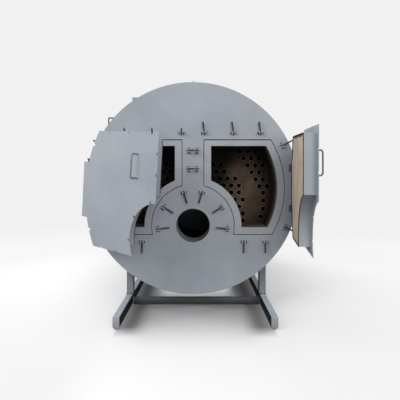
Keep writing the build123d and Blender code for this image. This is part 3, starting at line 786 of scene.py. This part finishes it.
# %% Lugs and their pins
EAR_R, EAR_Y = 0.016, 0.0135
crown = [(EAR_R * cos(a), PIN_UP + EAR_R * sin(a)) for a in np.linspace(0, pi, 15)]
side_line = [(EAR_R, -0.001)] + crown + [(-EAR_R, -0.001)]
inner_line = [(x * 0.92, PIN_UP + (z - PIN_UP) * 0.95) for x, z in side_line]
count = len(side_line)
layers = [(-0.004, inner_line), (-0.0028, side_line), (0.0028, side_line), (0.004, inner_line)]
ear_points = np.array([(x, y, z) for y, line in layers for x, z in line])
rows = [list(range(i * count, (i + 1) * count)) for i in range(4)]
ear_faces = [rows[0][::-1], rows[3], *skinned(rows)]
foot_line = [(0.0175, -0.0055, 0), (0.0175, 0.0055, 0), (-0.0175, 0.0055, 0), (-0.0175, -0.0055, 0)]
foot_weld = bead(foot_line, 0.0042, step=0.0025, ripple=0.006)
ear = joined([(ear_points, ear_faces), foot_weld])
lug = joined([moved(ear, (0, y, 0)) for y in (-EAR_Y, EAR_Y)])
to_back, to_front = Matrix.Rotation(-pi / 2, 4, "X"), Matrix.Rotation(pi / 2, 4, "X")
nut = moved(hex_head(0.0108, 0.0095), Matrix.Translation((0, 0.0175, PIN_UP)) @ to_back)
head = moved(hex_head(0.0108, 0.0080), Matrix.Translation((0, -0.0175, PIN_UP)) @ to_front)
shank = turned([(0, -0.018), (0.006, -0.018), (0.006, 0.027), (0.0048, 0.0285), (0, 0.0285)], 16)
lug_pin = joined([nut, head, moved(shank, Matrix.Translation((0, 0, PIN_UP)) @ to_back)])
for side, over in SIDES.items():
    places = [over @ bolt_place(x, z, direction) for x, z, direction, _ in bolt_spots(0, 0)]
    # Ears in the paler enamel, a painted highlight; pins near-black, partly painted shade under each lug.
    piece(f"{side}_lug_ears", joined([moved(lug, place) for place in places]), ear_painted_highlight,
          stands_for=[f"{side}_bolt_lugs"])
    piece(f"{side}_lug_pins", joined([moved(lug_pin, place) for place in places]), black_oxide_and_painted_shade)

# %% [markdown]
# ## Door linings
# Insulation board is soft. Its face is never quite flat, its edges crumble, and along the top of the
# door pieces have broken out and left gaps under the steel, darkened with painted shadow. The board is
# cut to the box's outline with scattered points inside, joined into triangles, and then pushed about
# with noise. A rope of graphite-coated glass fibre runs round the box's rim and seals the door. A strand
# of near-black along the top of each opening, where the wall meets the plate, is painted shadow in that
# joint.

# %% Door linings
BOARD_MARGIN, LIFT, BOARD_TOP = 0.011, 0.019, 0.469
GRID, JITTER, RIM_CLEAR = 0.022, 0.006, 0.012
GAPS = [(0.13, 0.030, 0.016), (0.24, 0.018, 0.011), (0.31, 0.040, 0.020), (0.47, 0.022, 0.012),
        (0.60, 0.030, 0.017)]  # middle, half width, depth (m)
GAPS_FROM, PAINTED_SHADOW_FROM = 0.440, 0.42
rim_line = outline(BOARD_MARGIN, 0.009, LIFT)
rim_count = len(rim_line)
scatter = random.Random(11)


def to_rim(x, z):
    """How far a point is from the board's rim."""
    return min(hypot(x - rx, z - rz) for rx, rz in rim_line)


def on_board(x, z):
    """Whether a point is inside the board's outline."""
    level = LIFT - BOTTOM - BOARD_MARGIN < z < BOARD_TOP and x > INNER_X - BOARD_MARGIN
    return level and hypot(x, z) < OUTER_R + BOARD_MARGIN and hypot(x, z + BURNER_DROP) > ARC_R - BOARD_MARGIN


flat = [Vector(p) for p in rim_line]
for gx in np.arange(0.10, 0.90, GRID):
    for gz in np.arange(-0.44, 0.47, GRID):
        x, z = gx + scatter.uniform(-JITTER, JITTER), gz + scatter.uniform(-JITTER, JITTER)
        if on_board(x, z) and to_rim(x, z) > RIM_CLEAR:
            flat.append(Vector((x, z)))
ring_edges = [(i, (i + 1) % rim_count) for i in range(rim_count)]
cut = geometry.delaunay_2d_cdt(flat, ring_edges, [list(range(rim_count))], 1, 1e-6)
triangles = [list(t) for t in cut[2]]
face_points, back_points, painted_shadow_shares = [], [], []
for x, z in cut[0]:
    edge = to_rim(x, z)
    swell = 0.0035 * noise.noise((x * 9, z * 9, 0.4)) + 0.0016 * noise.noise((x * 40, z * 40, 2.0))
    crumble = max(0.0, 0.012 - edge) * (0.25 + 0.5 * abs(noise.noise((x * 25, z * 25, 7.0))))
    depth = 0.0075 - swell * min(1.0, edge / 0.02) + crumble
    down = 0.0
    if z > GAPS_FROM:
        for middle, width, deep in GAPS:
            across = max(0.0, 1.0 - abs(x - middle) / width)
            down = max(down, deep * across * (z - GAPS_FROM) / (BOARD_TOP - GAPS_FROM))
    face_points.append((x, FRONT_Y - max(depth, 0.0052), AXIS_Z + z - down))
    back_points.append((x, FRONT_Y - STANDOFF, AXIS_Z + z - down))
    # How dark the painted shadow under the box's top wall is at this point.
    ragged = 0.5 + 0.5 * noise.noise((x * 55, 3.0, 0.0))
    painted_shadow_shares.append(max(0.0, 1.0 - edge / (0.012 + 0.030 * ragged)) if z > PAINTED_SHADOW_FROM else 0.0)
total = len(face_points)
faces = triangles + [[i + total for i in t[::-1]] for t in triangles]
faces += skinned([list(range(rim_count)), list(range(total, total + rim_count))])
lining = np.array(face_points + back_points), faces
seal_line = [(x, FRONT_Y - 0.0068, AXIS_Z + z) for x, z in outline(0.0140, 0.012, LIFT)]
seal = swept(seal_line, 0.0042, 8, closed=True)
for side in DOORS:
    slab = piece(f"{side}_fibre_board", moved(lining, door_turn(side)), board, body=f"{side}_door",
                 stands_for=[f"{side}_door_lining"], crease=50)
    slab.data.attributes.new("painted_shadow", "FLOAT", "POINT").data.foreach_set("value", painted_shadow_shares * 2)
    piece(f"{side}_rope_seal", moved(seal, door_turn(side)), rope, body=f"{side}_door")
    ends = INNER_X, sqrt(OUTER_R ** 2 - TOP ** 2)
    # A near-black strand: painted shadow in the joint under the plate's edge.
    shadow_strand = [(x, FRONT_Y + 0.002, AXIS_Z + TOP - 0.001) for x in ends]
    shadow_strand = bead(shadow_strand, 0.0045, step=0.004, ripple=0.02, closed=False)
    piece(f"{side}_joint_painted_shadow", moved(shadow_strand, SIDES[side]), black_oxide_and_painted_shade)

# %% [markdown]
# ## Welds and small parts on the doors
# Each box is welded to its flange plate all round, the handle's two feet have a ring of weld each, and
# the hinge arms are welded to the plates. Doors turn, so these pieces ride on the doors: they are made
# for a shut door and then turned with it.

# %% Welds and hinges
PLATE_IN, PLATE_OUT = FRONT_Y - STANDOFF, FRONT_Y - STANDOFF - DOOR_PLATE
HINGES, BRACKET = (0.190, -0.190), 0.008
HANDLE_X, HANDLE_FEET = 0.262, (0.145, 0.345)


def circle(centre, radius, count=24, x_axis=(1, 0, 0), y_axis=(0, 0, 1)):
    """Points round a circle, upright and facing forward unless its axes say otherwise."""
    centre, x_axis, y_axis = Vector(centre), Vector(x_axis), Vector(y_axis)
    return [centre + radius * (cos(a) * x_axis + sin(a) * y_axis) for a in turns_of(count)]


def arm_weld(side, middle, wall_y):
    """A bead round the foot of a hinge arm, where it meets the plate whose face is at wall_y."""
    origin, along = hinge_line(side)
    across = Vector((1, 0, 0)) - along * along.x
    across.normalize()
    ahead = along.cross(across)
    corners = []
    for x, z in ((0.0125, -0.0205), (0.0125, 0.0205), (-0.0125, 0.0205), (-0.0125, -0.0205)):
        point = origin + across * x + along * (middle + z)
        corners.append(point + ahead * ((wall_y - point.y) / ahead.y))
    return bead(corners, 0.0045, step=0.0025, ripple=0.007)


pin_head = turned([(0, -0.001), (0.0145, -0.001), (0.0145, 0.004), (0.0125, 0.0075), (0.0070, 0.0098),
                   (0, 0.0105)], 24)
washer = turned([(0.0093, 0), (0.0180, 0), (0.0180, 0.003), (0.0093, 0.003)], 28, closed=True)
split_pin = [(0, -0.014, 0), (0, 0.012, 0.0), (0, 0.016, 0.003), (0, 0.012, 0.006), (0, -0.010, 0.005),
             (0, -0.016, 0.009)]
split_pin = swept(even(split_pin, 0.002), 0.0017, 7)
for side, over in SIDES.items():
    box_line = [(x, PLATE_IN + 0.0005, AXIS_Z + z) for x, z in outline(0.0165, 0.02, LIFT)]
    seams = [bead(box_line, 0.0036, step=0.005, ripple=0.015)]
    for z in HANDLE_FEET:
        seams.append(bead(circle((HANDLE_X, PLATE_OUT, AXIS_Z + z), 0.0085), 0.0032, 0.002, 0.005))
    seams += [arm_weld(side, middle + 0.0405, PLATE_IN) for middle in HINGES]
    piece(f"{side}_door_welds", moved(joined(seams), door_turn(side)), door_enamel_painted_light, body=f"{side}_door")
    welds = [arm_weld(side, middle, FRONT_Y - BRACKET) for middle in HINGES]
    for middle in HINGES:
        welds.append(block((0.905, FRONT_Y - BRACKET, AXIS_Z + middle - 0.034),
                           (0.965, FRONT_Y + 0.001, AXIS_Z + middle + 0.034), 0.0015))
    # Brackets and their welds in the dark bolt enamel: painted shade round the hinge knuckle.
    piece(f"{side}_hinge_welds", moved(joined(welds), over), bolt_enamel)
    origin, along = hinge_line(side)
    stand = frame_at(origin, Vector((1, 0, 0)) - along * along.x, along)
    pins = [moved(part, stand @ Matrix.Translation((0, 0, height)))
            for part, height in ((pin_head, 0.270), (washer, -0.2135), (split_pin, -0.2235))]
    piece(f"{side}_pin_ends", moved(joined(pins), over), black_steel)

# %% [markdown]
# ## Burner opening and front plate
# The burner's throat is let into the plate, welded, and ground to a soft lip that shows as one bright
# line round the hole. Behind the plate's rim a fillet weld joins it to the shell.

# %% Burner lip and rim weld
BURNER_R, RIM_WELD_R = 0.159, 0.9915
lip_line = [(-0.0002, -0.030), (-0.0002, -0.004), (0.0007, -0.0012), (0.0030, 0.0008), (0.0070, 0.0016),
            (0.0150, 0.0016), (0.0195, 0.0010), (0.0215, -0.001), (0.0060, -0.003), (0.0020, -0.030)]
burner_lip = turned([(BURNER_R + out, up) for out, up in lip_line], 96, closed=True)
piece("burner_lip", moved(burner_lip, forward_at(0, FRONT_Y, AXIS_Z - BURNER_DROP)), plate_enamel)
rim = circle((0, FRONT_Y + 0.0085, AXIS_Z), RIM_WELD_R, 200)
piece("rim_weld", bead(rim, 0.0055, step=0.008, ripple=0.024), plate_enamel)

# %% [markdown]
# ## Jacket sheets
# The insulation is wrapped in steel sheet. Where two strakes meet, a rolled band with two beads covers
# the joint, and each strake has a lap seam low on either side. Bands and laps are held with pan-head
# screws. A band is one profile turned round the boiler's axis.

# %% Jacket bands, laps and screws
SHELL_R, SHELL_FRONT, SHELL_BACK, STRAKE = 0.990, -0.172, 2.978, 1.050
JOINTS = [SHELL_FRONT + STRAKE, SHELL_FRONT + 2 * STRAKE]
half_band = [(0.9885, -0.030), (0.9915, -0.030), (0.9920, -0.027), (0.9920, -0.016), (0.9940, -0.011),
             (0.9920, -0.006)]
half_trim = [(0.9885, -0.018), (0.9915, -0.018), (0.9920, -0.016)]
pan_head = turned([(0, -0.001), (0.0058, -0.001), (0.0058, 0.001), (0.0050, 0.0026), (0.0028, 0.0034),
                   (0, 0.0036)], 12)


def band(half, y):
    """Half a band's profile and its mirror image, turned round the boiler's axis."""
    profile = half + [(radius, -along) for radius, along in half[::-1]]
    return moved(turned(profile, 180, closed=True), forward_at(0, y, AXIS_Z))


def on_jacket(angle, y, radius=SHELL_R):
    """A frame on the jacket: Z outward, Y along the boiler. The angle is from +X, upward."""
    turn = radians(angle)
    out = Vector((cos(turn), 0, sin(turn)))
    return frame_at(Vector((0, y, AXIS_Z)) + radius * out, Vector((0, 1, 0)).cross(out), out)


bands = [band(half_band, y) for y in JOINTS]
bands += [band(half_trim, y) for y in (SHELL_FRONT + 0.026, SHELL_BACK - 0.018)]
screws = []
for joint in JOINTS:
    for row in (-0.0215, 0.0215):
        for angle in range(0, 360, 12):
            screws.append(moved(pan_head, on_jacket(angle + 4, joint + row, SHELL_R + 0.002)))
lap = []
for k in range(3):
    low, high = SHELL_FRONT + k * STRAKE + 0.046, SHELL_FRONT + (k + 1) * STRAKE - 0.036
    for angle in (-38, -142):
        sheet = block((-0.022, low - high, -0.003), (0.022, 0, 0.0014), 0.0006)
        lap.append(moved(sheet, on_jacket(angle, high)))
        for y in np.arange(low + 0.05, high, 0.14):
            screws.append(moved(pan_head, on_jacket(angle, y, SHELL_R + 0.0012)))
piece("jacket_bands", joined(bands), plate_enamel)
piece("jacket_laps", joined(lap), plate_enamel)
piece("jacket_screws", joined(screws), zinc)

# %% [markdown]
# ## Nozzles, manhole and lifting lugs
# Everything on the crown is welded to the shell. Where an upright pipe meets a round shell the weld
# follows a saddle curve, which is easy to write down: at each point of the pipe's circle, the height is
# that of the shell. The manhole's cover is bolted to a flange with a black gasket between.

# %% Crown fittings
STEAM_Y, VALVE_X, VALVE_Y, LIFTING_YS = 0.820, 0.170, 1.299, (0.2596, 2.400)
MANHOLE_Y, COVER_LOW, COVER_HIGH = 1.800, 2.240, 2.264
BOLT_RING, BOLT_R = 0.236, 0.0135
NOZZLES = [(0, STEAM_Y, 2.305, 0.0670, 0.022), (VALVE_X, VALVE_Y, 2.300, 0.0385, 0.018),
           (-VALVE_X, VALVE_Y, 2.300, 0.0385, 0.018)]  # x, y, top, pipe's radius, flange


def shell_drop(x):
    """How far the shell's crown or belly is from the axis, x metres from the middle."""
    return sqrt(SHELL_R ** 2 - x ** 2)


def saddle(x, y, radius, size):
    """A weld where an upright pipe meets the shell."""
    ring_points = circle((x, y, 0), radius, 48, y_axis=(0, 1, 0))
    return bead([(p.x, p.y, AXIS_Z + shell_drop(p.x)) for p in ring_points], size, step=0.004, ripple=0.012)


crown_welds = [saddle(0, STEAM_Y, 0.068, 0.007), saddle(VALVE_X, VALVE_Y, 0.039, 0.006),
               saddle(-VALVE_X, VALVE_Y, 0.039, 0.006), saddle(0, MANHOLE_Y, 0.217, 0.008)]
for y in LIFTING_YS:
    foot = [(0.0095, y - 0.0755), (0.0095, y + 0.0755), (-0.0095, y + 0.0755), (-0.0095, y - 0.0755)]
    foot = [(px, py, AXIS_Z + shell_drop(px)) for px, py in foot]
    crown_welds.append(bead(foot, 0.006, step=0.003, ripple=0.010))
for x, y, top, pipe, thick in NOZZLES:
    under = circle((x, y, top - thick), pipe, 32, y_axis=(0, 1, 0))
    crown_welds.append(bead(under, 0.005, step=0.004, ripple=0.012))
piece("crown_welds", joined(crown_welds), plate_enamel)
flange = turned([(0.2145, -0.024), (0.253, -0.024), (0.255, -0.022), (0.255, -0.005), (0.253, -0.003),
                 (0.2145, -0.003)], 72, closed=True)
piece("manhole_flange", moved(flange, (0, MANHOLE_Y, COVER_LOW)), plate_enamel)
gasket = turned([(0.214, -0.0032), (0.2515, -0.0032), (0.2515, 0.0003), (0.214, 0.0003)], 72, closed=True)
piece("manhole_gasket", moved(gasket, (0, MANHOLE_Y, COVER_LOW)), black_steel)
cover_bolts = []
for angle in range(10, 370, 20):
    turn = radians(angle)
    spot = Matrix.Translation((BOLT_RING * cos(turn), MANHOLE_Y + BOLT_RING * sin(turn), 0))
    spin = Matrix.Rotation(chance.uniform(0, 1), 4, "Z")
    above = Matrix.Translation((0, 0, COVER_HIGH - 0.001)) @ spin
    below = Matrix.Translation((0, 0, COVER_LOW - 0.023)) @ Matrix.Rotation(pi, 4, "X") @ spin
    cover_bolts.append(moved(hex_head(BOLT_R, 0.0125), spot @ above))
    cover_bolts.append(moved(hex_head(BOLT_R, 0.0145), spot @ below))
piece("manhole_bolts", joined(cover_bolts), zinc)
grip_line = [(-0.07, 0, 0), (-0.07, 0, 0.020), (-0.064, 0, 0.029), (-0.052, 0, 0.033)]
grip_line += [(-x, y, z) for x, y, z in grip_line[::-1]]
grip = swept(even(grip_line, 0.006), 0.007, 10)
piece("manhole_grip", moved(grip, (0, MANHOLE_Y, COVER_HIGH - 0.002)), bar_enamel)

# %% [markdown]
# ## Skid details
# The posts stand on foot plates bolted to the runners, and are welded to the shell along both flanges.
# The cross members are welded between the runners on three sides, because the fourth is on the ground.

# %% Skid feet and welds
FOOT, FLANGE, SUNK = 0.010, 0.008, 0.0005
feet, foot_bolts, skid_welds = [], [], []
for side in SIDES:
    for end, before, behind in (("front", 0.055, 0.015), ("rear", 0.015, 0.055)):
        low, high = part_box(f"{side}_{end}_post")
        ground = low.z
        feet.append(block((low.x + SUNK, low.y - before, ground - 0.001),
                          (high.x - SUNK, high.y + behind, ground + FOOT), 0.0012))
        bolt_y = low.y - 0.030 if before > behind else high.y + 0.030
        for x in (low.x + 0.014, high.x - 0.014):
            stand = Matrix.Translation((x, bolt_y, ground + FOOT - SUNK))
            spin = Matrix.Rotation(chance.uniform(0, 1), 4, "Z")
            foot_bolts.append(moved(hex_head(0.0092, 0.0085), stand @ spin))
        left, right = low.x - SUNK, high.x + SUNK
        for near in (low.y, high.y - FLANGE):
            edge = [(left, near), (right, near), (right, near + FLANGE), (left, near + FLANGE)]
            top = [(x, y, AXIS_Z - shell_drop(x)) for x, y in edge]
            bottom = [(x, y, ground + FOOT) for x, y in edge]
            skid_welds.append(bead(top, 0.0055, step=0.003, ripple=0.010))
            skid_welds.append(bead(bottom, 0.0045, step=0.003, ripple=0.010))
for name in ("front", "middle", "rear"):
    low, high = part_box(f"{name}_cross_member")
    near, back, top = low.y - SUNK, high.y + SUNK, high.z + SUNK
    profile = [(near, 0.004), (near, high.z - 0.010), (low.y + 0.009, top),
               (high.y - 0.009, top), (back, high.z - 0.010), (back, 0.004)]
    for x in (low.x, high.x):
        seam = [(x, y, z) for y, z in profile]
        skid_welds.append(bead(seam, 0.005, step=0.003, ripple=0.010, closed=False))
piece("post_feet", joined(feet), skid_enamel)
piece("foot_bolts", joined(foot_bolts), black_steel)
piece("skid_welds", joined(skid_welds), skid_enamel)

# %% [markdown]
# ## Left shoulder
# The junction box gets a lid with a lip, four screws and a blanked cable gland. The grab bar's ends are
# welded on.

# %% Junction box and grab bar
BOX_TOP = AXIS_Z + 0.938
lid = block((-0.6435, 0.306, BOX_TOP - 0.016), (-0.4505, 0.614, BOX_TOP + 0.002), 0.001)
piece("junction_box_lid", lid, plate_enamel)
box_screws = [moved(pan_head, (x, y, BOX_TOP + 0.002)) for x in (-0.634, -0.460) for y in (0.318, 0.602)]
gland = turned([(0, 0.010), (0.0122, 0.010), (0.0122, 0.020), (0.0108, 0.024), (0, 0.024)], 20)
gland = joined([hex_head(0.0150, 0.012), gland])
box_screws.append(moved(gland, forward_at(-0.520, 0.310, AXIS_Z + 0.896)))
piece("junction_box_screws", joined(box_screws), zinc)
GRAB_Y, GRAB_X, GRAB_TOP, GRAB_R, BEND = 0.0501, -0.840, 0.690, 0.0072, 0.010
bend = [(GRAB_X + BEND - BEND * sin(a), GRAB_Y, AXIS_Z + GRAB_TOP - BEND + BEND * cos(a))
        for a in np.linspace(0, pi / 2, 7)]
rail = [(-0.700, GRAB_Y, AXIS_Z + GRAB_TOP), *bend, (GRAB_X, GRAB_Y, AXIS_Z + 0.515)]
piece("grab_rail", swept(rail, GRAB_R, 12), bolt_enamel, stands_for=["grab_bar"])
bar_welds = []
for x, z in ((-0.710, GRAB_TOP), (GRAB_X, 0.524)):
    out = Vector((x, 0, z)).normalized()
    across = Vector((0, 1, 0)).cross(out)
    foot = circle((x, GRAB_Y, AXIS_Z + z), 0.0105, x_axis=(0, 1, 0), y_axis=across)
    bar_welds.append(bead(foot, 0.0035, 0.002, 0.006))
piece("grab_bar_welds", joined(bar_welds), plate_enamel)

# %% [markdown]
# ## Rear end
# The furnace's rear cover is held with a ring of bolts and has two grips. The flue stub is welded to
# the rear plate and to its own flange.

# %% Rear cover and flue
REAR_Y, FLUE_Z, COVER_Z = SHELL_BACK + 0.008, AXIS_Z + 0.420, AXIS_Z - BURNER_DROP
REAR_RING = 0.272
rear_bolts = []
for angle in range(0, 360, 24):
    turn = radians(angle)
    spot = (REAR_RING * cos(turn), REAR_Y + 0.0135, COVER_Z + REAR_RING * sin(turn))
    stand = frame_at(spot, (1, 0, 0), (0, 1, 0)) @ Matrix.Rotation(chance.uniform(0, 1), 4, "Z")
    rear_bolts.append(moved(hex_head(BOLT_R, 0.0125), stand))
piece("rear_cover_bolts", joined(rear_bolts), zinc)
grips = []
for x in (-0.13, 0.13):
    turn_up = frame_at((x, REAR_Y + 0.013, COVER_Z), (0, 0, 1), (0, 1, 0))
    grips.append(moved(grip, turn_up))
piece("rear_cover_grips", joined(grips), bar_enamel)
flue_welds = []
for y, radius, size in ((REAR_Y, 0.1825, 0.006), (REAR_Y + 0.150, 0.1820, 0.0045)):
    flue_welds.append(bead(circle((0, y, FLUE_Z), radius, 64), size, step=0.004, ripple=0.012))
rear_rim = circle((0, SHELL_BACK - 0.0005, AXIS_Z), RIM_WELD_R, 200)
flue_welds.append(bead(rear_rim, 0.0055, step=0.008, ripple=0.024))
piece("rear_welds", joined(flue_welds), plate_enamel)
